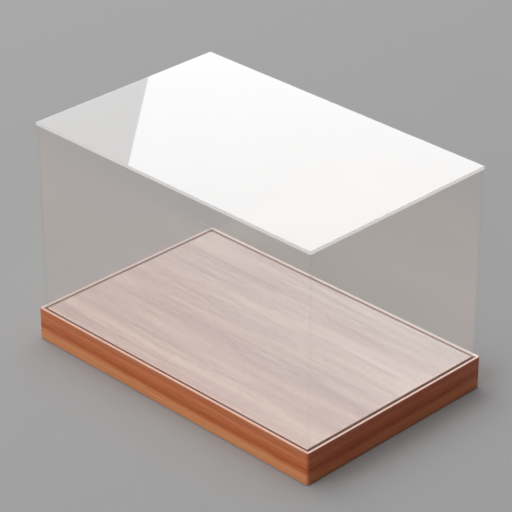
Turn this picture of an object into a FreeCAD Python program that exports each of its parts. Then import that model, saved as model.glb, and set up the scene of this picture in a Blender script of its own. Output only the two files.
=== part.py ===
import FreeCAD, Part
import math
import os

import Sketcher

# Clear display case: an acrylic cover that stands in the groove of a mitred wooden plinth.
# X runs along the length, Y from front to back, Z up; the origin is on the table under the middle.

doc = FreeCAD.newDocument("acrylic_display_case")
sheet = doc.addObject("Spreadsheet::Sheet", "params")

SIZES = [
    ("base_length", 340, "outer length of the plinth"),
    ("base_depth", 220, "outer depth of the plinth"),
    ("base_height", 32, "table to the top of the rim"),
    ("overall_height", 220, "table to the top of the cover"),
    ("foot_stand", 1, "how far the feet hold the rails off the table"),
    ("rail_width", 20, "rail, outer face to inner face"),
    ("rim_width", 3.5, "strip of the rail outside the groove"),
    ("corner_radius", 3, "rounding of the plinth's upright corners"),
    ("rim_chamfer", 0.5, "broken outer edge of the rim"),
    ("deck_thickness", 6, "deck panel, and so the depth of the groove"),
    ("deck_chamfer", 0.3, "broken edge round the deck's top"),
    ("wall_thickness", 2, "acrylic sheet of the four walls"),
    ("wall_chamfer", 0.4, "lead-in along the foot of each wall"),
    ("groove_clearance", 0.25, "wall to each side of the groove"),
    ("top_thickness", 3, "acrylic sheet of the top"),
    ("top_chamfer", 0.3, "polished edge of the top"),
    ("bottom_thickness", 4, "panel under the frame"),
    ("bottom_recess", 3, "bottom panel above the underside of the rails"),
    ("bottom_seat", 10, "width of the rebate that holds the bottom panel"),
    ("bottom_clearance", 0.5, "bottom panel to the side of its rebate"),
    ("spline_thickness", 3, "mitre key"),
    ("spline_width", 14, "mitre key, across the joint"),
    ("spline_inset", 11, "outer face of the rail to the middle of the key"),
    ("spline_cover", 3, "wood above the key and below it"),
    ("block_size", 24, "side of the square corner block"),
    ("bearer_width", 20, "deck bearer, along the plinth"),
    ("bearer_gap", 6, "room for screw heads between a bearer and the bottom panel"),
    ("bearer_spacing", 130, "middle of one bearer to the middle of the other"),
    ("bearer_housing", 3, "how deep a bearer's end goes into a rail"),
    ("foot_diameter", 16, "rubber foot at the bottom panel"),
    ("foot_taper", 0.5, "how much smaller the foot's radius is at the table"),
    ("foot_recess_diameter", 8, "hollow in the foot for the screw's head"),
    ("foot_web", 1.5, "rubber between the screw's head and the bottom panel"),
    ("screw_diameter", 3, "shank of every screw"),
    ("screw_head_diameter", 6, "pan head of every screw"),
    ("screw_head_height", 1.8, "pan head of every screw"),
    ("screw_head_bevel", 0.6, "broken edge of the pan head"),
    ("screw_point", 3, "tapered tip of every screw"),
    ("cross_length", 3.2, "cross recess in the head, tip to tip"),
    ("cross_width", 0.9, "one slot of the cross recess"),
    ("cross_depth", 1, "cross recess in the head"),
    ("screw_cover", 6, "wood left above a screw that is driven into the frame"),
    ("deck_screw_cover", 2, "deck left above a bearer screw"),
    ("bearer_screw_spacing", 110, "between the two screws of one bearer"),
    ("panel_screw_spacing_length", 200, "between the outer panel screws of a long side"),
    ("panel_screw_spacing_depth", 90, "between the panel screws of a short side"),
]
for row, (alias, value, note) in enumerate(SIZES, 1):
    sheet.set(f"A{row}", note)
    sheet.set(f"B{row}", str(value))
    sheet.setAlias(f"B{row}", alias)
doc.recompute()


def size(name):
    """Reference to one cell of the sheet."""
    return f"params.{name}"


# Sizes and levels that follow from the cells, as expressions
HALF_LENGTH = "params.base_length / 2"
HALF_DEPTH = "params.base_depth / 2"
RAIL_HEIGHT = "(params.base_height - params.foot_stand)"
GROOVE_WIDTH = "(params.wall_thickness + 2 * params.groove_clearance)"
COVER_INSET = "(params.rim_width + params.groove_clearance)"
COVER_LENGTH = f"(params.base_length - 2 * {COVER_INSET})"
COVER_DEPTH = f"(params.base_depth - 2 * {COVER_INSET})"
SEAT_LEVEL = "(params.base_height - params.deck_thickness)"
SEAT_IN_RAIL = f"({RAIL_HEIGHT} - params.deck_thickness)"
WALL_HEIGHT = f"(params.overall_height - params.top_thickness - {SEAT_LEVEL})"
DECK_LENGTH = f"(params.base_length - 2 * (params.rim_width + {GROOVE_WIDTH}))"
DECK_DEPTH = f"(params.base_depth - 2 * (params.rim_width + {GROOVE_WIDTH}))"
PANEL_LEVEL = "(params.foot_stand + params.bottom_recess)"
PANEL_TOP = f"({PANEL_LEVEL} + params.bottom_thickness)"
REBATE_HEIGHT = "(params.bottom_recess + params.bottom_thickness)"
PANEL_INSET = "(params.rail_width - params.bottom_seat + params.bottom_clearance)"
PANEL_LENGTH = f"(params.base_length - 2 * {PANEL_INSET})"
PANEL_DEPTH = f"(params.base_depth - 2 * {PANEL_INSET})"
SCREW_INSET = "(params.rail_width - params.bottom_seat / 2)"
FOOT_INSET = "(params.rail_width + params.block_size / 2)"
BLOCK_HEIGHT = f"({SEAT_LEVEL} - {PANEL_TOP})"
BEARER_LENGTH = "(params.base_depth - 2 * (params.rail_width - params.bearer_housing))"
BEARER_LEVEL = f"({PANEL_TOP} + params.bearer_gap)"
BEARER_HEIGHT = f"({SEAT_LEVEL} - {BEARER_LEVEL})"
SPLINE_TOP_IN_RAIL = f"({SEAT_IN_RAIL} - params.spline_cover)"
SPLINE_HEIGHT = f"({SPLINE_TOP_IN_RAIL} - {REBATE_HEIGHT} - params.spline_cover)"
SCREW_BITE = f"({BLOCK_HEIGHT} - params.screw_cover)"
DECK_SCREW_BITE = "(params.deck_thickness - params.deck_screw_cover)"
FOOT_HOLLOW = f"({PANEL_LEVEL} - params.foot_web)"

DIAGONAL = "cos(45 deg)"
TOLERANCE = 1e-6

# Signs of X and Y at each corner
CORNERS = {
    "front_left": (-1, -1),
    "front_right": (1, -1),
    "back_left": (-1, 1),
    "back_right": (1, 1),
}

# Places of the bearers and of the screws along the rails and bearers
BEARERS = {
    "left": "-params.bearer_spacing / 2",
    "right": "params.bearer_spacing / 2",
}
BEARER_SCREWS = ["-params.bearer_screw_spacing / 2", "params.bearer_screw_spacing / 2"]
LONG_SIDE_SCREWS = ["-params.panel_screw_spacing_length / 2", "0", "params.panel_screw_spacing_length / 2"]
SHORT_SIDE_SCREWS = ["-params.panel_screw_spacing_depth / 2", "params.panel_screw_spacing_depth / 2"]


def bearer_screw_places():
    return [(x, y) for x in BEARERS.values() for y in BEARER_SCREWS]


def panel_screw_places():
    places = []
    for side in (-1, 1):
        places += [(x, f"{side} * ({HALF_DEPTH} - {SCREW_INSET})") for x in LONG_SIDE_SCREWS]
        places += [(f"{side} * ({HALF_LENGTH} - {SCREW_INSET})", y) for y in SHORT_SIDE_SCREWS]
    return places


def foot_places():
    """Middle of each corner block, where a foot and its screw are."""
    places = []
    for sx, sy in CORNERS.values():
        places.append((f"{sx} * ({HALF_LENGTH} - {FOOT_INSET})", f"{sy} * ({HALF_DEPTH} - {FOOT_INSET})"))
    return places


def number(expression):
    """Present value of an expression, as a start for a sketch or to pick an edge."""
    return float(sheet.evalExpression(expression))


def place(obj, x="0", y="0", z="0", turn=0):
    """Places an object by expressions, turned about Z by a fixed angle in degrees."""
    obj.Placement.Rotation = FreeCAD.Rotation(FreeCAD.Vector(0, 0, 1), turn)
    for axis, expression in zip("xyz", (x, y, z)):
        obj.setExpression(f"Placement.Base.{axis}", expression)


def bind(obj, **sizes):
    """Binds an object's sizes to expressions."""
    for name, expression in sizes.items():
        obj.setExpression(name, expression)


# Bodies with sketches

def new_body(label):
    body = doc.addObject("PartDesign::Body", label)
    body.Label = label
    return body


def new_sketch(body, name, level="0", plane_role="XY_Plane"):
    """Sketch on one of the body's own planes, or at a distance from it."""
    plane = next(item for item in body.Origin.OriginFeatures if item.Role == plane_role)
    sketch = body.newObject("Sketcher::SketchObject", f"{body.Name}_{name}")
    sketch.AttachmentSupport = [(plane, "")]
    sketch.MapMode = "FlatFace"
    sketch.setExpression("AttachmentOffset.Base.z", level)
    return sketch


def fix_point(sketch, geometry, point, **coordinates):
    """Ties a point's X or Y to the sketch's origin by an expression."""
    for axis, expression in coordinates.items():
        rule = Sketcher.Constraint(f"Distance{axis.upper()}", -1, 1, geometry, point, number(expression))
        index = sketch.addConstraint(rule)
        sketch.setExpression(f"Constraints[{index}]", expression)


def draw_loop(sketch, corners, arcs=None):
    """Closed loop through corners given as pairs of expressions, counter-clockwise.

    arcs gives the middle of each side that is an arc, by the number of its first corner.
    """
    arcs = arcs or {}
    points = [FreeCAD.Vector(number(x), number(y), 0) for x, y in corners]
    count = len(points)
    first = sketch.GeometryCount
    for side, start in enumerate(points):
        end = points[(side + 1) % count]
        if side in arcs:
            middle = FreeCAD.Vector(number(arcs[side][0]), number(arcs[side][1]), 0)
            circle = Part.Circle(middle, FreeCAD.Vector(0, 0, 1), (start - middle).Length)
            angles = [math.atan2(point.y - middle.y, point.x - middle.x) for point in (start, end)]
            sketch.addGeometry(Part.ArcOfCircle(circle, *angles))
        else:
            sketch.addGeometry(Part.LineSegment(start, end))
    for side in range(count):
        joined = Sketcher.Constraint("Coincident", first + side, 2, first + (side + 1) % count, 1)
        sketch.addConstraint(joined)
    for side, (x, y) in enumerate(corners):
        # the end of an arc slides on it, so one coordinate is enough there
        after_arc = (side - 1) % count in arcs
        if after_arc:
            fix_point(sketch, first + side, 1, x=x)
        else:
            fix_point(sketch, first + side, 1, x=x, y=y)
        if side in arcs:
            fix_point(sketch, first + side, 3, x=arcs[side][0], y=arcs[side][1])


def draw_rectangle(sketch, left, right, near, far):
    draw_loop(sketch, [(left, near), (right, near), (right, far), (left, far)])


def draw_centred_rectangle(sketch, length, depth):
    draw_rectangle(sketch, f"-{length} / 2", f"{length} / 2", f"-{depth} / 2", f"{depth} / 2")


def draw_circles(sketch, centres, diameter):
    for x, y in centres:
        middle = FreeCAD.Vector(number(x), number(y), 0)
        circle = Part.Circle(middle, FreeCAD.Vector(0, 0, 1), number(diameter) / 2)
        index = sketch.addGeometry(circle)
        fix_point(sketch, index, 3, x=x, y=y)
        rule = sketch.addConstraint(Sketcher.Constraint("Diameter", index, number(diameter)))
        sketch.setExpression(f"Constraints[{rule}]", diameter)


def pad(sketch, length):
    body = sketch.getParentGeoFeatureGroup()
    feature = body.newObject("PartDesign::Pad", f"{sketch.Name}_pad")
    feature.Profile = sketch
    bind(feature, Length=length)
    doc.recompute()
    return feature


def pocket(sketch, depth, upward=False):
    """Cuts downward from its sketch, or upward; a cut that removes nothing is an error."""
    body = sketch.getParentGeoFeatureGroup()
    before = body.Shape.Volume
    feature = body.newObject("PartDesign::Pocket", f"{sketch.Name}_pocket")
    feature.Profile = sketch
    feature.Reversed = upward
    bind(feature, Length=depth)
    doc.recompute()
    if not body.Shape.Volume < before:
        raise RuntimeError(f"{feature.Name} removes nothing")
    return feature


def chamfer(body, name, breadth, wanted):
    """Chamfers the edges of the body's latest feature that wanted() picks."""
    base = body.Tip
    feature = body.newObject("PartDesign::Chamfer", f"{body.Name}_{name}")
    edges = [f"Edge{i}" for i, edge in enumerate(base.Shape.Edges, 1) if wanted(edge)]
    feature.Base = (base, edges)
    bind(feature, Size=breadth)
    doc.recompute()
    return feature


def lies_at(edge, level):
    """True for an edge that lies flat at a height above its body's XY plane."""
    return all(abs(vertex.Z - level) < TOLERANCE for vertex in edge.Vertexes)


# Plinth frame

def spline_slot(length, end):
    """Half of a mitre key's slot, at the left (-1) or right (1) end of a rail."""
    tip = f"{length} / 2"
    half_key = f"params.spline_thickness / 2 * {DIAGONAL}"
    reach = f"params.spline_width / 2 * {DIAGONAL}"
    inner = (f"{tip} - params.spline_inset - {half_key}", f"params.spline_inset + {half_key}")
    outer = (f"{tip} - params.spline_inset + {half_key}", f"params.spline_inset - {half_key}")
    right_end = [outer, inner]
    right_end += [(f"{x} - {reach}", f"{y} - {reach}") for x, y in (inner, outer)]
    if end > 0:
        return right_end
    return [(f"-({x})", y) for x, y in reversed(right_end)]


def make_rail(label, length, screw_places, bearer_places=()):
    """Mitred rail, drawn with its outer face on the X axis and its inner face toward +Y."""
    body = new_body(label)
    tip = f"{length} / 2"
    rounded = "params.corner_radius"
    on_mitre = f"{rounded} * (1 - {DIAGONAL})"
    width = size("rail_width")
    outline = new_sketch(body, "outline")
    corners = [
        (f"-({tip} - {rounded})", "0"),
        (f"{tip} - {rounded}", "0"),
        (f"{tip} - {on_mitre}", on_mitre),
        (f"{tip} - {width}", width),
        (f"-({tip} - {width})", width),
        (f"-({tip} - {on_mitre})", on_mitre),
    ]
    arcs = {
        1: (f"{tip} - {rounded}", rounded),
        5: (f"-({tip} - {rounded})", rounded),
    }
    draw_loop(outline, corners, arcs)
    pad(outline, RAIL_HEIGHT)

    rim_level = number(RAIL_HEIGHT)
    mitre_reach = number(on_mitre) + TOLERANCE
    chamfer(body, "rim_edge", size("rim_chamfer"),
            lambda edge: lies_at(edge, rim_level) and edge.BoundBox.YMax < mitre_reach)

    deck_recess = new_sketch(body, "deck_recess", RAIL_HEIGHT)
    draw_rectangle(deck_recess, f"-{tip}", tip, size("rim_width"), width)
    pocket(deck_recess, size("deck_thickness"))

    rebate = new_sketch(body, "bottom_rebate")
    draw_rectangle(rebate, f"-{tip}", tip, f"{width} - params.bottom_seat", width)
    pocket(rebate, REBATE_HEIGHT, upward=True)

    slots = new_sketch(body, "spline_slots", SPLINE_TOP_IN_RAIL)
    for end in (-1, 1):
        draw_loop(slots, spline_slot(length, end))
    pocket(slots, SPLINE_HEIGHT)

    pilots = new_sketch(body, "screw_pilots", REBATE_HEIGHT)
    draw_circles(pilots, [(x, SCREW_INSET) for x in screw_places], size("screw_diameter"))
    pocket(pilots, SCREW_BITE, upward=True)

    if bearer_places:
        housings = new_sketch(body, "bearer_housings", SEAT_IN_RAIL)
        for x in bearer_places:
            draw_rectangle(housings, f"{x} - params.bearer_width / 2", f"{x} + params.bearer_width / 2",
                           f"{width} - params.bearer_housing", width)
        pocket(housings, BEARER_HEIGHT)
    return body


def make_frame():
    """Four rails round the plinth; each is turned so that its inner face looks to the middle."""
    bearers = list(BEARERS.values())
    front = make_rail("front_rail", size("base_length"), LONG_SIDE_SCREWS, bearers)
    place(front, y=f"-{HALF_DEPTH}", z=size("foot_stand"))
    back = make_rail("back_rail", size("base_length"), LONG_SIDE_SCREWS, bearers)
    place(back, y=HALF_DEPTH, z=size("foot_stand"), turn=180)
    left = make_rail("left_rail", size("base_depth"), SHORT_SIDE_SCREWS)
    place(left, x=f"-{HALF_LENGTH}", z=size("foot_stand"), turn=-90)
    right = make_rail("right_rail", size("base_depth"), SHORT_SIDE_SCREWS)
    place(right, x=HALF_LENGTH, z=size("foot_stand"), turn=90)
    return [front, back, left, right]


def make_splines():
    """Key across each mitre, at right angles to the joint."""
    splines = []
    for corner, (sx, sy) in CORNERS.items():
        spline = doc.addObject("Part::Box", f"mitre_spline_{corner}")
        bind(spline, Length=size("spline_width"), Width=size("spline_thickness"), Height=SPLINE_HEIGHT)
        # the box grows from its own corner, so its middle is brought onto the mitre
        turn = -45 * sx * sy
        along = f"params.spline_width / 2 * {DIAGONAL}"
        across = f"params.spline_thickness / 2 * {DIAGONAL}"
        x = f"{sx} * ({HALF_LENGTH} - params.spline_inset) - {along} - {sx * sy} * {across}"
        y = f"{sy} * ({HALF_DEPTH} - params.spline_inset) + {sx * sy} * {along} - {across}"
        z = f"params.foot_stand + {SPLINE_TOP_IN_RAIL} - {SPLINE_HEIGHT}"
        place(spline, x, y, z, turn)
        splines.append(spline)
    return splines


# Deck, bottom panel and what stands between them

def make_deck():
    """Floor of the case, on the rails' ledge; its edge is the inner side of the groove."""
    deck = new_body("deck_panel")
    outline = new_sketch(deck, "outline")
    draw_centred_rectangle(outline, DECK_LENGTH, DECK_DEPTH)
    pad(outline, size("deck_thickness"))
    top = number(size("deck_thickness"))
    chamfer(deck, "broken_edge", size("deck_chamfer"), lambda edge: lies_at(edge, top))
    pilots = new_sketch(deck, "screw_pilots")
    draw_circles(pilots, bearer_screw_places(), size("screw_diameter"))
    pocket(pilots, DECK_SCREW_BITE, upward=True)
    place(deck, z=SEAT_LEVEL)
    return deck


def make_bottom_panel():
    panel = new_body("bottom_panel")
    outline = new_sketch(panel, "outline")
    draw_centred_rectangle(outline, PANEL_LENGTH, PANEL_DEPTH)
    pad(outline, size("bottom_thickness"))
    holes = new_sketch(panel, "screw_holes")
    draw_circles(holes, panel_screw_places() + foot_places(), size("screw_diameter"))
    pocket(holes, size("bottom_thickness"), upward=True)
    place(panel, z=PANEL_LEVEL)
    return panel


def add_cylinder(name, diameter, height, x="0", y="0", z="0"):
    cylinder = doc.addObject("Part::Cylinder", name)
    bind(cylinder, Radius=f"{diameter} / 2", Height=height)
    place(cylinder, x, y, z)
    return cylinder


def cut(label, base, tools):
    """Base less the tools, under the piece's own label."""
    tool = tools[0]
    if len(tools) > 1:
        tool = doc.addObject("Part::MultiFuse", f"{label}_holes")
        tool.Shapes = tools
    result = doc.addObject("Part::Cut", label)
    result.Base = base
    result.Tool = tool
    return result


def make_corner_blocks():
    """Square blocks in the frame's corners, between the bottom panel and the deck."""
    blocks = []
    for corner, (x, y) in zip(CORNERS, foot_places()):
        label = f"corner_block_{corner}"
        blank = doc.addObject("Part::Box", f"{label}_blank")
        bind(blank, Length=size("block_size"), Width=size("block_size"), Height=BLOCK_HEIGHT)
        place(blank, f"{x} - params.block_size / 2", f"{y} - params.block_size / 2", PANEL_TOP)
        pilot = add_cylinder(f"{label}_pilot", size("screw_diameter"), SCREW_BITE, x, y, PANEL_TOP)
        blocks.append(cut(label, blank, [pilot]))
    return blocks


def make_bearers():
    """Cross rails under the deck, with their ends in the housings of the front and back rails."""
    bearers = []
    for side, x in BEARERS.items():
        label = f"deck_bearer_{side}"
        blank = doc.addObject("Part::Box", f"{label}_blank")
        bind(blank, Length=size("bearer_width"), Width=BEARER_LENGTH, Height=BEARER_HEIGHT)
        place(blank, f"{x} - params.bearer_width / 2", f"-{BEARER_LENGTH} / 2", BEARER_LEVEL)
        holes = []
        for index, y in enumerate(BEARER_SCREWS):
            name = f"{label}_hole_{index}"
            holes.append(add_cylinder(name, size("screw_diameter"), BEARER_HEIGHT, x, y, BEARER_LEVEL))
        bearers.append(cut(label, blank, holes))
    return bearers


def make_feet():
    """Low tapered rubber feet, each with a hollow for its screw's head."""
    at_panel = "params.foot_diameter / 2"
    at_table = f"{at_panel} - params.foot_taper"
    feet = []
    for corner, (x, y) in zip(CORNERS, foot_places()):
        label = f"foot_{corner}"
        blank = doc.addObject("Part::Cone", f"{label}_blank")
        bind(blank, Radius1=at_table, Radius2=at_panel, Height=PANEL_LEVEL)
        place(blank, x, y)
        hollow = add_cylinder(f"{label}_hollow", size("foot_recess_diameter"), FOOT_HOLLOW, x, y)
        hole = add_cylinder(f"{label}_hole", size("screw_diameter"), PANEL_LEVEL, x, y)
        feet.append(cut(label, blank, [hollow, hole]))
    return feet


def make_screw(label, shank):
    """Pan-head screw that points up, with the underside of its head on the XY plane."""
    screw = new_body(label)
    profile = new_sketch(screw, "profile", plane_role="XZ_Plane")
    head_radius = "params.screw_head_diameter / 2"
    shank_radius = "params.screw_diameter / 2"
    bevel = size("screw_head_bevel")
    draw_loop(profile, [
        ("0", "-params.screw_head_height"),
        (f"{head_radius} - {bevel}", "-params.screw_head_height"),
        (head_radius, f"{bevel} - params.screw_head_height"),
        (head_radius, "0"),
        (shank_radius, "0"),
        (shank_radius, f"{shank} - params.screw_point"),
        ("0", shank),
    ])
    turned = screw.newObject("PartDesign::Revolution", f"{label}_turned")
    turned.Profile = profile
    turned.ReferenceAxis = (profile, ["V_Axis"])
    doc.recompute()

    recess = new_sketch(screw, "cross_recess", "-params.screw_head_height")
    arm = "params.cross_length / 2"
    slot = "params.cross_width / 2"
    quarter = [(slot, f"-{arm}"), (slot, f"-{slot}"), (arm, f"-{slot}")]
    cross = []
    for _ in range(4):
        cross += quarter
        quarter = [(f"-({y})", x) for x, y in quarter]
    draw_loop(recess, cross)
    pocket(recess, size("cross_depth"), upward=True)
    return screw


def make_screws(label, places, head_level, shank):
    """Group of equal screws driven upward; head_level is the underside of what the heads hold."""
    pattern = make_screw(f"{label}_pattern", shank)
    screws = []
    for index, (x, y) in enumerate(places):
        screw = doc.addObject("App::Link", f"{label}_{index}")
        screw.LinkedObject = pattern
        place(screw, x, y, head_level)
        screws.append(screw)
    group = doc.addObject("Part::Compound", label)
    group.Links = screws
    return group


def make_fasteners():
    panel_shank = f"(params.bottom_thickness + {SCREW_BITE})"
    bearer_shank = f"({BEARER_HEIGHT} + {DECK_SCREW_BITE})"
    foot_shank = f"(params.foot_web + {panel_shank})"
    return [
        make_screws("bottom_panel_screws", panel_screw_places(), PANEL_LEVEL, panel_shank),
        make_screws("bearer_screws", bearer_screw_places(), BEARER_LEVEL, bearer_shank),
        make_screws("foot_screws", foot_places(), FOOT_HOLLOW, foot_shank),
    ]


# Cover

def make_wall(label, length, x="0", y="0", turn=0):
    """Upright sheet, drawn with its outer face on the X axis and its inner face toward +Y."""
    wall = new_body(label)
    outline = new_sketch(wall, "outline")
    draw_rectangle(outline, f"-{length} / 2", f"{length} / 2", "0", size("wall_thickness"))
    pad(outline, WALL_HEIGHT)
    thickness = number(size("wall_thickness"))
    chamfer(wall, "lead_in", size("wall_chamfer"),
            lambda edge: lies_at(edge, 0) and edge.Length > thickness + TOLERANCE)
    place(wall, x, y, SEAT_LEVEL, turn)
    return wall


def make_cover():
    """Front and back walls over the full length, side walls between them, and a top that caps all four."""
    between = f"({COVER_DEPTH} - 2 * params.wall_thickness)"
    front = make_wall("front_wall", COVER_LENGTH, y=f"-{COVER_DEPTH} / 2")
    back = make_wall("back_wall", COVER_LENGTH, y=f"{COVER_DEPTH} / 2", turn=180)
    left = make_wall("left_wall", between, x=f"-{COVER_LENGTH} / 2", turn=-90)
    right = make_wall("right_wall", between, x=f"{COVER_LENGTH} / 2", turn=90)
    top = new_body("top_panel")
    outline = new_sketch(top, "outline")
    draw_centred_rectangle(outline, COVER_LENGTH, COVER_DEPTH)
    pad(outline, size("top_thickness"))
    upper = number(size("top_thickness"))
    chamfer(top, "polished_edge", size("top_chamfer"), lambda edge: lies_at(edge, upper))
    place(top, z="params.overall_height - params.top_thickness")
    return [front, back, left, right, top]


pieces = make_frame() + make_splines() + make_corner_blocks() + make_bearers() + make_feet()
pieces += [make_deck(), make_bottom_panel()] + make_fasteners() + make_cover()
doc.recompute()

for item in doc.Objects:
    if "Invalid" in item.State or "Error" in item.State:
        raise RuntimeError(f"{item.Name} failed: {item.State}")
for piece in pieces:
    if piece.Shape.isNull() or not piece.Shape.isValid():
        raise RuntimeError(f"{piece.Label} has no valid shape")

os.makedirs("parts", exist_ok=True)
for piece in pieces:
    piece.Shape.exportStep(f"parts/{piece.Label}.step")
print(len(pieces), "nodes,", sum(len(piece.Shape.Solids) for piece in pieces), "solids")
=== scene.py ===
import math

import bpy
from mathutils import Matrix, Vector


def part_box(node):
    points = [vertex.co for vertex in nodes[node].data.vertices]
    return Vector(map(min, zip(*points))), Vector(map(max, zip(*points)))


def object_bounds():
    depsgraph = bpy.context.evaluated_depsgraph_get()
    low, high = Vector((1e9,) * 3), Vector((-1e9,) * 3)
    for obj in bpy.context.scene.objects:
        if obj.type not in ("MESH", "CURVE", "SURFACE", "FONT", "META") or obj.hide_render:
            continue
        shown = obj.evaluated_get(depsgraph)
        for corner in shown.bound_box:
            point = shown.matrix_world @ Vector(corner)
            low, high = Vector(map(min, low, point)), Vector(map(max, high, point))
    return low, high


# Looks of a display case: a clear acrylic cover over a wooden plinth, on a plain grey floor.
# Metres, in the frame of the solids: X along the length, Y from front to back, Z up.

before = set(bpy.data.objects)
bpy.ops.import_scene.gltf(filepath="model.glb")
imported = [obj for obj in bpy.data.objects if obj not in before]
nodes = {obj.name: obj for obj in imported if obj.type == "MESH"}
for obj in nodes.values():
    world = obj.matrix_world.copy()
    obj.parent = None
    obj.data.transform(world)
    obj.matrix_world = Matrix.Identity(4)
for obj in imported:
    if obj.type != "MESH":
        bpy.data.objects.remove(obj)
cad_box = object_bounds()

COVER_WALLS = ["front_wall", "back_wall", "left_wall", "right_wall"]
INNER_WOOD_PREFIXES = ("mitre_spline", "corner_block", "deck_bearer")
SCREWS = ["bottom_panel_screws", "bearer_screws", "foot_screws"]

PLINTH_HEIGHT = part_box("front_rail")[1].z
GROOVE_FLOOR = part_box("front_wall")[0].z

# Pale border on the rim, a painted sheen, and the painted shadow line inside it: the border's width along X
# and Y, a shift of its inside, and the fade to the dark line
BORDER_WIDTH = Vector((0.0030, 0.0033, 0))
BORDER_INSIDE = cad_box[1] - BORDER_WIDTH
BORDER_SHIFT = (-0.0005, 0.0002, 0)
BORDER_FADE = (0.0001, 0.0003)

# Heights where the groove's painted shadow and painted light begin, the walls' frosted ends fade and the
# deck's side turns from painted shade to painted light
GROOVE_FADE = (GROOVE_FLOOR - 0.0006, GROOVE_FLOOR - 0.0001)
FROST_FADE = (GROOVE_FLOOR + 0.0001, GROOVE_FLOOR + 0.0006)
DECK_SIDE_FADE = (PLINTH_HEIGHT - 0.0014, PLINTH_HEIGHT - 0.001)

# Upward share of a face's normal at which a side becomes a top: halfway round its arris, or past it
ARRIS_MIDDLE = (0.4, 0.6)
ARRIS_END = (0.8, 0.95)

# Values between which most of a noise lies
NOISE_SPAN = (0.2, 0.8)
NOISE_MIDDLE = (0.3, 0.7)

# Sockets of a Mix node that mixes colours
MIX_SHARE, MIX_FIRST, MIX_SECOND, MIX_RESULT = 0, 6, 7, 2

# How much the deck's warm to cool slant runs along X, against 1 along Y
SLANT = 0.4


def srgb(red, green, blue):
    """Linear colour of a screen colour given from 0 to 255."""
    linear = []
    for value in (red, green, blue):
        share = value / 255
        linear.append(share / 12.92 if share <= 0.04045 else ((share + 0.055) / 1.055) ** 2.4)
    return (*linear, 1.0)


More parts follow.
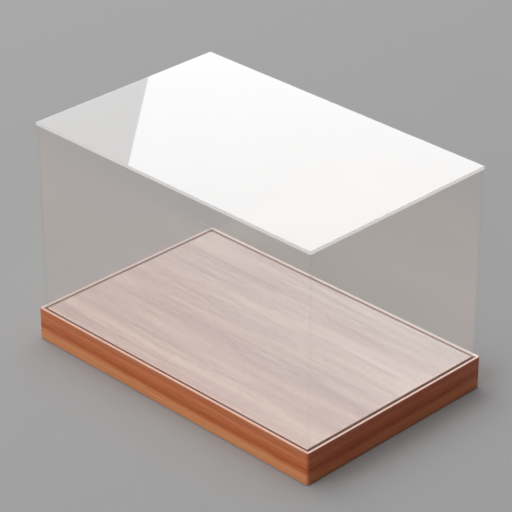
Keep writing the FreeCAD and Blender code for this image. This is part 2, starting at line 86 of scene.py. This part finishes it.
class Shader:
    """Short ways to add and join the nodes of one material."""

    def __init__(self, name):
        self.material = bpy.data.materials.new(name)
        self.material.use_nodes = True
        self.tree = self.material.node_tree
        self.tree.nodes.clear()

    def add(self, kind, inputs=None, **settings):
        """Adds a node; an input is a plain value, or the output of another node."""
        node = self.tree.nodes.new(kind)
        for name, value in settings.items():
            setattr(node, name, value)
        for name, value in (inputs or {}).items():
            if isinstance(value, bpy.types.NodeSocket):
                self.tree.links.new(value, node.inputs[name])
            else:
                node.inputs[name].default_value = value
        return node

    # Values

    def place(self, scale=(1, 1, 1), turn=(0, 0, 0), shift=(0, 0, 0)):
        """The piece's own coordinates in metres, turned to its grain, then scaled and shifted."""
        coordinates = self.add("ShaderNodeTexCoord").outputs["Object"]
        turned = self.add("ShaderNodeMapping", {"Vector": coordinates, "Rotation": turn}).outputs["Vector"]
        moved = {"Vector": turned, "Location": shift, "Scale": scale}
        return self.add("ShaderNodeMapping", moved).outputs["Vector"]

    def noise(self, scale, turn=(0, 0, 0), shift=(0, 0, 0), detail=2.0, roughness=0.5, distortion=0.0):
        """Noise from 0 to 1; the scale says how often it changes in a metre, along the grain first."""
        inputs = {"Vector": self.place(scale, turn, shift), "Scale": 1.0, "Detail": detail,
                  "Roughness": roughness, "Distortion": distortion}
        return self.add("ShaderNodeTexNoise", inputs).outputs["Fac"]

    def calculate(self, operation, first, second=0.0):
        return self.add("ShaderNodeMath", {0: first, 1: second}, operation=operation).outputs[0]

    def fit(self, value, low, high, to_low=0.0, to_high=1.0):
        """Value from low to high brought to another range, smooth at both ends."""
        inputs = {"Value": value, "From Min": low, "From Max": high, "To Min": to_low, "To Max": to_high}
        return self.add("ShaderNodeMapRange", inputs, interpolation_type="SMOOTHSTEP").outputs["Result"]

    def sway(self, value, noise, reach):
        """A value moved up and down by a noise, as far as reach."""
        return self.calculate("ADD", value, self.fit(noise, *NOISE_MIDDLE, -reach, reach))

    def axes(self, vector):
        return self.add("ShaderNodeSeparateXYZ", {0: vector}).outputs

    def height(self):
        """Height above the floor, in metres."""
        return self.axes(self.place())["Z"]

    def slant(self):
        """0 at the case's front left corner and 1 at its back right one."""
        axes = self.axes(self.place())
        way = self.calculate("ADD", self.calculate("MULTIPLY", axes["X"], SLANT), axes["Y"])
        reach = SLANT * cad_box[1].x + cad_box[1].y
        return self.fit(way, -reach, reach)

    def along(self, axis):
        """0 to 1 along the case, from left to right for X and from front to back for Y."""
        length = 2 * getattr(cad_box[1], axis.lower())
        return self.calculate("ADD", self.calculate("DIVIDE", self.axes(self.place())[axis], length), 0.5)

    def rise(self):
        """Upward share of the face's normal: 1 on a top, 0 on a side and -1 on an underside."""
        return self.axes(self.add("ShaderNodeNewGeometry").outputs["Normal"])["Z"]

    def top(self, fade):
        """1 on tops, and 0 on sides and undersides."""
        return self.fit(self.rise(), *fade)

    def level(self, fade, to_low=0.0, to_high=1.0):
        """To_high on tops and undersides, and to_low on sides."""
        return self.fit(self.calculate("ABSOLUTE", self.rise()), *fade, to_low, to_high)

    def outside(self):
        """1 where a face is met from outside its piece, and 0 from within."""
        return self.calculate("SUBTRACT", 1.0, self.add("ShaderNodeNewGeometry").outputs["Backfacing"])

    def edges(self, radius, full):
        """1 on the piece's arrises and 0 on its flat faces."""
        rounded = self.add("ShaderNodeBevel", {"Radius": radius}, samples=4).outputs["Normal"]
        normal = self.add("ShaderNodeNewGeometry").outputs["Normal"]
        alike = self.add("ShaderNodeVectorMath", {0: rounded, 1: normal}, operation="DOT_PRODUCT")
        return self.fit(alike.outputs["Value"], 1.0 - full, 1.0, 1.0, 0.0)

    def groove(self):
        """1 inside the rim's pale border, on its dark inner line and in the groove, and 0 elsewhere: where
        the groove's painted shadow and painted light go.
        """
        axes = self.axes(self.place(shift=BORDER_SHIFT))
        past_side = self.calculate("SUBTRACT", self.calculate("ABSOLUTE", axes["X"]), BORDER_INSIDE.x)
        past_end = self.calculate("SUBTRACT", self.calculate("ABSOLUTE", axes["Y"]), BORDER_INSIDE.y)
        inside = self.fit(self.calculate("MAXIMUM", past_side, past_end), *BORDER_FADE, 1.0, 0.0)
        return self.calculate("MULTIPLY", inside, self.fit(axes["Z"], *GROOVE_FADE))

    # Colours

    def ramp(self, value, stops):
        """Colour that changes with a value; stops are pairs of a place and a colour."""
        node = self.add("ShaderNodeValToRGB", {"Fac": value})
        elements = node.color_ramp.elements
        while len(elements) < len(stops):
            elements.new(1.0)
        for element, (place, colour) in zip(elements, stops):
            element.position = place
            element.color = colour
        return node.outputs["Color"]

    def mix(self, share, first, second, blend="MIX"):
        inputs = {MIX_SHARE: share, MIX_FIRST: first, MIX_SECOND: second}
        node = self.add("ShaderNodeMix", inputs, data_type="RGBA", blend_type=blend)
        return node.outputs[MIX_RESULT]

    def tint(self, colour, tint):
        return self.mix(1.0, colour, tint, "MULTIPLY")

    def stain(self, colour, other, value, low, high, most):
        """Another colour over a colour: none where a value is low, and a share of most where it is high."""
        return self.mix(self.fit(value, low, high, 0.0, most), colour, other)

    def wear(self, colour, other, radius, full, most):
        """Another colour over a colour on the piece's arrises, with a share of most."""
        return self.mix(self.calculate("MULTIPLY", self.edges(radius, full), most), colour, other)

    # Surfaces

    def rough(self, noise, least, most, span=NOISE_SPAN):
        """Roughness that varies with a noise."""
        return self.fit(noise, *span, least, most)

    def blend(self, share, first, second):
        """Two surfaces mixed; the share is the second one's."""
        return self.add("ShaderNodeMixShader", {0: share, 1: first, 2: second}).outputs[0]

    def finish(self, surface):
        self.add("ShaderNodeOutputMaterial", {"Surface": surface})
        return self.material

    def principled(self, colour, roughness, relief, depth, **others):
        """Finished material with a colour, a roughness and a relief of some depth in metres."""
        bump = self.add("ShaderNodeBump", {"Height": relief, "Distance": depth, "Strength": 1.0})
        inputs = {name.replace("_", " "): value for name, value in others.items()}
        inputs.update({"Base Color": colour, "Roughness": roughness, "Normal": bump.outputs["Normal"]})
        return self.finish(self.add("ShaderNodeBsdfPrincipled", inputs).outputs["BSDF"])


# Wood of the plinth: each rail's grain turn, its place in the pattern, its tint of painted light and shade,
# and its pale border, a painted sheen on its rim

ALONG_X = (0, 0, 0)
ALONG_Y = (0, 0, math.pi / 2)
# Painted light and shade by the way a rail faces: the long rails lighter, the side rails redder and darker in
# green and blue
LONG_RAIL_PAINTED_LIGHT = (1.04, 1.03, 1.11, 1.0)
SIDE_RAIL_PAINTED_LIGHT_AND_SHADE = (1.17, 0.885, 0.85, 1.0)
RAILS = {
    "front_rail": (ALONG_X, 0.0, LONG_RAIL_PAINTED_LIGHT, srgb(214, 173, 155)),
    "back_rail": (ALONG_X, 1.7, LONG_RAIL_PAINTED_LIGHT, srgb(240, 228, 224)),
    "right_rail": (ALONG_Y, 3.0, SIDE_RAIL_PAINTED_LIGHT_AND_SHADE, srgb(240, 211, 200)),
    "left_rail": (ALONG_Y, 5.1, SIDE_RAIL_PAINTED_LIGHT_AND_SHADE, srgb(210, 195, 189)),
}

# Growth rings on the rails' sides from bottom to top, and how far they drift and ripple
RING_COLOURS = [
    (0.00, srgb(182, 122, 80)),
    (0.20, srgb(188, 130, 82)),
    (0.31, srgb(186, 120, 76)),
    (0.42, srgb(154, 78, 39)),
    (0.47, srgb(144, 65, 29)),
    (0.57, srgb(161, 86, 48)),
    (0.66, srgb(166, 91, 54)),
    (0.75, srgb(182, 108, 68)),
    (0.84, srgb(162, 88, 49)),
    (0.94, srgb(160, 96, 64)),
]
RING_DRIFT = 0.0012
RING_RIPPLE = 0.0004

# Colours of the deck's bands, their place in the pattern, a broad warm to cool tint, and painted light and
# shade over the deck: lighter to the right, darker at its front and back
DECK_COLOURS = [
    (0.34, srgb(192, 170, 168)),
    (0.46, srgb(201, 179, 173)),
    (0.56, srgb(212, 191, 183)),
    (0.66, srgb(219, 200, 190)),
]
DECK_SHIFT = (37.0, 13.0, 0)
WARM = (1.04, 0.98, 0.92, 1.0)
COOL = (0.95, 1.0, 1.06, 1.0)
DECK_PAINTED_LIGHT_LEFT = (1.047, 1.047, 1.05, 1.0)
DECK_PAINTED_LIGHT_RIGHT = (1.13, 1.13, 1.115, 1.0)
DECK_PAINTED_SHADE_STEPS = [(place, (shade, shade, shade, 1.0)) for place, shade in (
    (0.1, 0.928), (0.25, 0.934), (0.42, 0.952), (0.55, 0.962), (0.64, 1.0), (0.78, 0.968), (0.93, 0.88))]

# Thickness of a dark and a pale ply together
PLY_PAIR = 0.0016


def rail_wood(name, turn, seed, tint, border):
    """Orange-brown varnished wood whose growth rings show as long bands on the rail's side."""
    shader = Shader(name)
    shift = (seed, 0, 0)
    wander = shader.noise((6, 20, 20), turn, shift, detail=3)
    ripple = shader.noise((40, 90, 90), turn, shift)
    streaks = shader.noise((9, 420, 420), turn, shift, detail=4, roughness=0.6)
    fibres = shader.noise((26, 1900, 1900), turn, shift, detail=3, roughness=0.65)
    height = shader.sway(shader.sway(shader.height(), wander, RING_DRIFT), ripple, RING_RIPPLE)
    colour = shader.ramp(shader.calculate("DIVIDE", height, PLINTH_HEIGHT), RING_COLOURS)
    colour = shader.stain(colour, srgb(158, 66, 28), streaks, low=0.35, high=0.7, most=0.4)
    colour = shader.stain(colour, srgb(224, 146, 84), fibres, low=0.3, high=0.75, most=0.25)
    colour = shader.tint(colour, tint)
    colour = shader.wear(colour, srgb(205, 130, 85), radius=0.0008, full=0.12, most=0.12)
    # Painted sheen: the rim's top takes a pale colour of its own, lighter or darker on each rail as light
    # falls there
    border = shader.stain(border, srgb(200, 160, 142), fibres, low=0.35, high=0.75, most=0.25)
    colour = shader.mix(shader.top(ARRIS_END), colour, border)
    # Painted shadow of the groove as a dark line on the rim's inner top, and painted light on the groove's
    # shaded upright faces
    groove = shader.mix(shader.top(ARRIS_MIDDLE), srgb(200, 172, 160), srgb(112, 74, 62))
    colour = shader.mix(shader.groove(), colour, groove)
    roughness = shader.rough(fibres, least=0.24, most=0.34)
    return shader.principled(colour, roughness, fibres, depth=0.00004, Specular_IOR_Level=0.35)


def deck_wood():
    """Paler pinkish-brown veneer with broad soft bands and fine streaks along the length."""
    shader = Shader("deck_wood")
    bands = shader.noise((2.6, 42, 42), shift=DECK_SHIFT, distortion=0.2)
    streaks = shader.noise((9, 210, 210), detail=4, roughness=0.6)
    fibres = shader.noise((40, 1500, 1500), detail=3, roughness=0.6)
    colour = shader.ramp(bands, DECK_COLOURS)
    colour = shader.stain(colour, srgb(184, 160, 159), streaks, low=0.46, high=0.66, most=0.4)
    colour = shader.stain(colour, srgb(222, 204, 193), streaks, low=0.5, high=0.34, most=0.4)
    colour = shader.stain(colour, srgb(208, 180, 164), fibres, low=0.35, high=0.7, most=0.18)
    colour = shader.tint(colour, shader.mix(shader.slant(), WARM, COOL))
    # Painted light, stronger to the right, and painted shade towards the deck's front and back
    colour = shader.tint(colour, shader.mix(shader.along("X"), DECK_PAINTED_LIGHT_LEFT, DECK_PAINTED_LIGHT_RIGHT))
    colour = shader.tint(colour, shader.ramp(shader.along("Y"), DECK_PAINTED_SHADE_STEPS))
    # Painted shade low on the deck's side inside the groove, and painted light on its upper edge, which lies
    # in shade
    pale = shader.fit(shader.height(), *DECK_SIDE_FADE)
    side = shader.mix(pale, srgb(110, 68, 56), srgb(244, 232, 226))
    colour = shader.mix(shader.top(ARRIS_MIDDLE), side, colour)
    roughness = shader.rough(streaks, least=0.22, most=0.3, span=(0.25, 0.75))
    return shader.principled(colour, roughness, fibres, depth=0.00003, IOR=1.5)


def raw_wood():
    """Unfinished pale hardwood of the pieces inside the plinth."""
    shader = Shader("inner_wood")
    rings = shader.noise((60, 60, 420), detail=3, distortion=0.5)
    fibres = shader.noise((150, 150, 2600), detail=3, roughness=0.6)
    colour = shader.ramp(rings, [(0.35, srgb(196, 160, 116)), (0.65, srgb(222, 190, 146))])
    colour = shader.stain(colour, srgb(176, 136, 94), fibres, low=0.4, high=0.75, most=0.4)
    colour = shader.wear(colour, srgb(232, 206, 168), radius=0.0006, full=0.15, most=0.3)
    return shader.principled(colour, shader.rough(fibres, least=0.6, most=0.8), fibres, depth=0.00006)


def plywood():
    """Thin raw plywood: rotary-cut face grain, and plies that show as stripes on its edges."""
    shader = Shader("plywood")
    grain = shader.noise((6, 55, 55), detail=4, distortion=1.2)
    fibres = shader.noise((40, 1300, 1300), detail=3, roughness=0.6)
    face = shader.ramp(grain, [
        (0.32, srgb(184, 146, 102)),
        (0.50, srgb(206, 170, 124)),
        (0.70, srgb(218, 184, 140)),
    ])
    face = shader.stain(face, srgb(166, 126, 86), fibres, low=0.4, high=0.75, most=0.35)
    ply = shader.calculate("FRACT", shader.calculate("DIVIDE", shader.height(), PLY_PAIR))
    edge = shader.ramp(ply, [
        (0.00, srgb(150, 110, 74)),
        (0.45, srgb(158, 116, 78)),
        (0.55, srgb(214, 178, 132)),
        (1.00, srgb(208, 172, 126)),
    ])
    colour = shader.mix(shader.level(ARRIS_MIDDLE), edge, face)
    return shader.principled(colour, shader.rough(fibres, least=0.65, most=0.85), fibres, depth=0.00005)


# Acrylic, rubber and steel

CLEAR = (0.995, 0.997, 0.996, 1.0)
HAZE_SPAN = (0.3, 0.8)
HAZE_POLISH = 0.8
FROST_WHITE = (0.95, 0.95, 0.95, 1.0)
FROST_GLOW = 0.7
FROST_SHARE = 0.8


def clear_sheet(shader, ior, roughness, tint, mirroring=1.0):
    """Thin clear acrylic: it mirrors by its angle to the eye, as much as its two faces do together.

    The rest passes unbent. Roughness and tint are of what it mirrors, and mirroring says where it does."""
    fresnel = shader.add("ShaderNodeFresnel", {"IOR": ior}).outputs["Fac"]
    share = shader.calculate("DIVIDE", shader.calculate("MULTIPLY", fresnel, 2.0),
                             shader.calculate("ADD", fresnel, 1.0))
    seen = shader.calculate("SUBTRACT", 1.0, shader.add("ShaderNodeLightPath").outputs["Is Shadow Ray"])
    for part in (shader.outside(), seen, mirroring):
        share = shader.calculate("MULTIPLY", share, part)
    haze = shader.noise((14, 14, 14), detail=3)
    polish = shader.rough(haze, HAZE_POLISH * roughness, roughness, HAZE_SPAN)
    mirror = shader.add("ShaderNodeBsdfGlossy", {"Color": tint, "Roughness": polish}).outputs[0]
    through = shader.add("ShaderNodeBsdfTransparent", {"Color": CLEAR}).outputs[0]
    return shader.blend(share, through, mirror)


def frosted(shader, share, sheet):
    """A sheet whose sawn edges are matt, and aglow with light from behind; share says where."""
    sawn = shader.add("ShaderNodeBsdfDiffuse", {"Color": FROST_WHITE}).outputs[0]
    glow = shader.add("ShaderNodeBsdfTranslucent", {"Color": FROST_WHITE}).outputs[0]
    return shader.blend(share, sheet, shader.blend(FROST_GLOW, sawn, glow))


def acrylic_walls():
    """Clear sheet with a faint warm mirror; its glued upper ends mirror nothing.

    Its lower ends are frosted."""
    shader = Shader("clear_walls")
    upright = shader.level(ARRIS_MIDDLE, 1.0, 0.0)
    sheet = clear_sheet(shader, ior=2.0, roughness=0.22, tint=(1.0, 0.93, 0.9, 1.0), mirroring=upright)
    frost = shader.fit(shader.height(), *FROST_FADE, FROST_SHARE, 0.0)
    return shader.finish(frosted(shader, frost, sheet))


def acrylic_top():
    """Polished clear sheet whose sawn edges are frosted."""
    shader = Shader("clear_top")
    sheet = clear_sheet(shader, ior=1.8, roughness=0.02, tint=(1.0, 1.0, 1.0, 1.0))
    frost = shader.calculate("MULTIPLY", shader.level(ARRIS_END, FROST_SHARE, 0.0), shader.outside())
    return shader.finish(frosted(shader, frost, sheet))


def rubber():
    """Matt black moulded rubber, dusty and a little scuffed on its arrises."""
    shader = Shader("foot_rubber")
    grain = shader.noise((900, 900, 900), detail=3, roughness=0.6)
    dust = shader.noise((140, 140, 140), detail=3)
    colour = shader.stain(srgb(34, 34, 35), srgb(74, 72, 70), dust, low=0.45, high=0.8, most=0.5)
    colour = shader.wear(colour, srgb(96, 94, 92), radius=0.0005, full=0.15, most=0.4)
    return shader.principled(colour, shader.rough(grain, least=0.6, most=0.85), grain, depth=0.00005)


def zinc():
    """Bright zinc plate with faint turning marks and cloudy passivation."""
    shader = Shader("zinc_steel")
    cloud = shader.noise((260, 260, 260), detail=4)
    marks = shader.noise((200, 200, 5200))
    colour = shader.ramp(cloud, [
        (0.30, srgb(176, 174, 164)),
        (0.55, srgb(196, 196, 192)),
        (0.75, srgb(206, 202, 184)),
    ])
    roughness = shader.rough(marks, least=0.22, most=0.42)
    return shader.principled(colour, roughness, marks, depth=0.00002, Metallic=1.0)


def dress(names, material):
    for name in names:
        mesh = nodes[name].data
        mesh.materials.clear()
        mesh.materials.append(material)


def dress_all():
    for name, (turn, seed, tint, border) in RAILS.items():
        dress([name], rail_wood(f"{name}_wood", turn, seed, tint, border))
    dress(["deck_panel"], deck_wood())
    dress(["bottom_panel"], plywood())
    dress([name for name in nodes if name.startswith(INNER_WOOD_PREFIXES)], raw_wood())
    dress([name for name in nodes if name.startswith("foot_") and name not in SCREWS], rubber())
    dress(SCREWS, zinc())
    dress(COVER_WALLS, acrylic_walls())
    dress(["top_panel"], acrylic_top())


# Studio

CAMERA_AZIMUTH = math.radians(44.88)
CAMERA_ELEVATION = math.radians(29.0)
CAMERA_ROLL = math.radians(0.1)
CAMERA_DISTANCE = 2.147
CAMERA_RISE = 0.0678
CAMERA_LENS = 168.3
CAMERA_SENSOR = 36.0

FLOOR_SIZE = 30.0
FLOOR_GREY = 0.376
WORLD_LIGHT = 0.1

# Way from the case to each large lamp, and its light on a face turned to it: at 1 a white face shows as white
LARGE_LAMPS = {
    "front_key": (Vector((-0.12, -0.87, 0.46)), 0.83),
    "left_fill": (Vector((-0.68, -0.08, 0.72)), 0.48),
    "overhead_fill": (Vector((0.12, 0.62, 0.78)), 0.23),
}
LAMP_DISTANCE = 6.0
LAMP_SIZE = 5.5

# Panels behind the case, which its top mirrors toward the camera; the softbox stands in front
SOFTBOX_DISTANCE = 3.0
SOFTBOX_SIZE = (1.0, 1.0)
SOFTBOX_RADIANCE = 1.04
SOFTBOX_SHIFT = (0.2208, 0.0)
SOFTBOX_ROLL = math.radians(12.85)
BACK_PANEL_DISTANCE = 3.1
BACK_PANEL_SIZE = (3.6, 2.0)
BACK_PANEL_RADIANCE = 1.09
BACK_PANEL_SHIFT = (0.0, 0.3)


def view_axes():
    """Right, up and back of the camera before its roll."""
    level = math.cos(CAMERA_ELEVATION)
    right = Vector((math.cos(CAMERA_AZIMUTH), math.sin(CAMERA_AZIMUTH), 0))
    back = Vector((right.y * level, -right.x * level, math.sin(CAMERA_ELEVATION)))
    return right, back.cross(right), back


def add_camera():
    right, up, back = view_axes()
    turn = Matrix.Rotation(CAMERA_ROLL, 3, back)
    right, up = turn @ right, turn @ up
    deck_middle = Vector((0, 0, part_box("deck_panel")[1].z))
    camera = bpy.data.objects.new("camera", bpy.data.cameras.new("camera"))
    bpy.context.scene.collection.objects.link(camera)
    camera.data.lens = CAMERA_LENS
    camera.data.sensor_width = CAMERA_SENSOR
    camera.matrix_world = Matrix.Translation(deck_middle + back * CAMERA_DISTANCE + up * CAMERA_RISE) @ (
        Matrix((right, up, back)).transposed().to_4x4())
    bpy.context.scene.camera = camera


def add_lamp(name, place, aim, size, watts, roll=0.0):
    """Rectangular lamp that faces a point; it lights and is mirrored, but isn't seen itself."""
    data = bpy.data.lights.new(name, "AREA")
    data.shape = "RECTANGLE"
    data.size, data.size_y = size
    data.energy = watts
    lamp = bpy.data.objects.new(name, data)
    bpy.context.scene.collection.objects.link(lamp)
    facing = (aim - place).to_track_quat("-Z", "Y").to_matrix().to_4x4()
    lamp.matrix_world = Matrix.Translation(place) @ facing @ Matrix.Rotation(roll, 4, "Z")
    lamp.visible_camera = False


def add_lamps():
    aim = Vector((0, 0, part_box("deck_panel")[1].z))
    for name, (way, level) in LARGE_LAMPS.items():
        watts = level * (math.pi * LAMP_DISTANCE) ** 2
        add_lamp(name, aim + way.normalized() * LAMP_DISTANCE, aim, (LAMP_SIZE, LAMP_SIZE), watts)

    right, _, back = view_axes()
    mirrored = Vector((-back.x, -back.y, back.z))
    panel_up = right.cross(mirrored)
    top_middle = Vector((0, 0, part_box("top_panel")[1].z))
    for name, distance, size, radiance, shift, roll in (
        ("back_panel", BACK_PANEL_DISTANCE, BACK_PANEL_SIZE, BACK_PANEL_RADIANCE, BACK_PANEL_SHIFT, 0.0),
        ("softbox", SOFTBOX_DISTANCE, SOFTBOX_SIZE, SOFTBOX_RADIANCE, SOFTBOX_SHIFT, SOFTBOX_ROLL),
    ):
        middle = top_middle + mirrored * distance
        middle += right * shift[0] + panel_up * shift[1]
        watts = radiance * math.pi * size[0] * size[1]
        add_lamp(name, middle, middle - mirrored, size, watts, -roll)


def add_floor():
    half = FLOOR_SIZE / 2
    corners = [(-half, -half, 0), (half, -half, 0), (half, half, 0), (-half, half, 0)]
    mesh = bpy.data.meshes.new("floor")
    mesh.from_pydata(corners, [], [(0, 1, 2, 3)])
    floor = bpy.data.objects.new("floor", mesh)
    bpy.context.scene.collection.objects.link(floor)
    shader = Shader("floor")
    grey = (FLOOR_GREY, FLOOR_GREY, FLOOR_GREY, 1)
    mesh.materials.append(shader.finish(shader.add("ShaderNodeBsdfDiffuse", {"Color": grey}).outputs[0]))


def add_world():
    """Dim even light; where it is seen or mirrored it has the floor's tone."""
    world = bpy.data.worlds.new("studio")
    world.use_nodes = True
    bpy.context.scene.world = world
    tree = world.node_tree
    rays = tree.nodes.new("ShaderNodeLightPath").outputs
    seen = rays["Is Camera Ray"]
    for kind in ("Is Glossy Ray", "Is Transmission Ray"):
        either = tree.nodes.new("ShaderNodeMath")
        either.operation = "MAXIMUM"
        tree.links.new(seen, either.inputs[0])
        tree.links.new(rays[kind], either.inputs[1])
        seen = either.outputs[0]
    tone = tree.nodes.new("ShaderNodeMapRange")
    tone.inputs["To Min"].default_value = WORLD_LIGHT
    tone.inputs["To Max"].default_value = FLOOR_GREY
    tree.links.new(seen, tone.inputs["Value"])
    background = tree.nodes["Background"]
    background.inputs["Color"].default_value = (1, 1, 1, 1)
    tree.links.new(tone.outputs[0], background.inputs["Strength"])


dress_all()
add_floor()
add_world()
add_lamps()
add_camera()
bpy.context.scene.view_settings.view_transform = "Standard"
